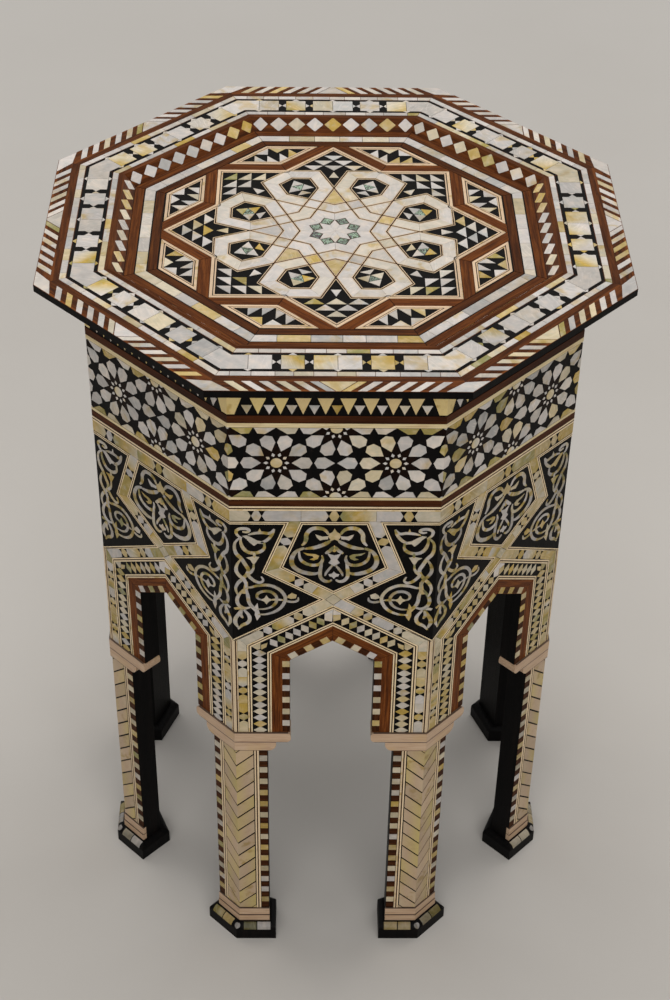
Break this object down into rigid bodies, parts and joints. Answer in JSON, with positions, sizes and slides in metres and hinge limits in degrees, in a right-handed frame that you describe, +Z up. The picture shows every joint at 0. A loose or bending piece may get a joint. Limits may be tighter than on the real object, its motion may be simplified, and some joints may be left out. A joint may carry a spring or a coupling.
{
  "type": "octagonal inlaid side table",
  "caption": "Octagonal side table with a sunk inlaid top, pointed arches between slender legs, and stepped corbels and feet.",
  "frame": {"origin": "on the floor under the middle of the top", "axes": "+Z up, the front side faces -Y, +X to the right"},
  "size_m": [0.3886, 0.3886, 0.55],
  "materials": {
    "rosewood": "satin",
    "ebony": "satin",
    "pale_inlay": "satin",
    "carcass_wood": "matte",
    "steel": "satin"
  },
  "bodies": {
    "root": {"cleat_screws": "steel", "foot_1": "ebony", "foot_2": "ebony", "foot_3": "ebony", "foot_4": "ebony", "foot_5": "ebony", "foot_6": "ebony", "foot_7": "ebony", "foot_8": "ebony", "foot_screws": "steel", "leg_post_1": "ebony", "leg_post_2": "ebony", "leg_post_3": "ebony", "leg_post_4": "ebony", "leg_post_5": "ebony", "leg_post_6": "ebony", "leg_post_7": "ebony", "leg_post_8": "ebony", "lower_collars": "pale_inlay", "lower_corbel_1": "pale_inlay", "lower_corbel_2": "pale_inlay", "lower_corbel_3": "pale_inlay", "lower_corbel_4": "pale_inlay", "lower_corbel_5": "pale_inlay", "lower_corbel_6": "pale_inlay", "lower_corbel_7": "pale_inlay", "lower_corbel_8": "pale_inlay", "lower_fillets": "pale_inlay", "rim_edge_bands": "ebony", "rim_rail_1": "rosewood", "rim_rail_2": "rosewood", "rim_rail_3": "rosewood", "rim_rail_4": "rosewood", "rim_rail_5": "rosewood", "rim_rail_6": "rosewood", "rim_rail_7": "rosewood", "rim_rail_8": "rosewood", "side_panel_1": "ebony", "side_panel_2": "ebony", "side_panel_3": "ebony", "side_panel_4": "ebony", "side_panel_5": "ebony", "side_panel_6": "ebony", "side_panel_7": "ebony", "side_panel_8": "ebony", "top_cleats": "carcass_wood", "top_core_board": "rosewood", "upper_collars": "pale_inlay", "upper_corbel_1": "pale_inlay", "upper_corbel_2": "pale_inlay", "upper_corbel_3": "pale_inlay", "upper_corbel_4": "pale_inlay", "upper_corbel_5": "pale_inlay", "upper_corbel_6": "pale_inlay", "upper_corbel_7": "pale_inlay", "upper_corbel_8": "pale_inlay", "upper_fillets": "pale_inlay", "upper_strips": "rosewood", "waist_strips": "rosewood"}
  },
  "joints": []
}
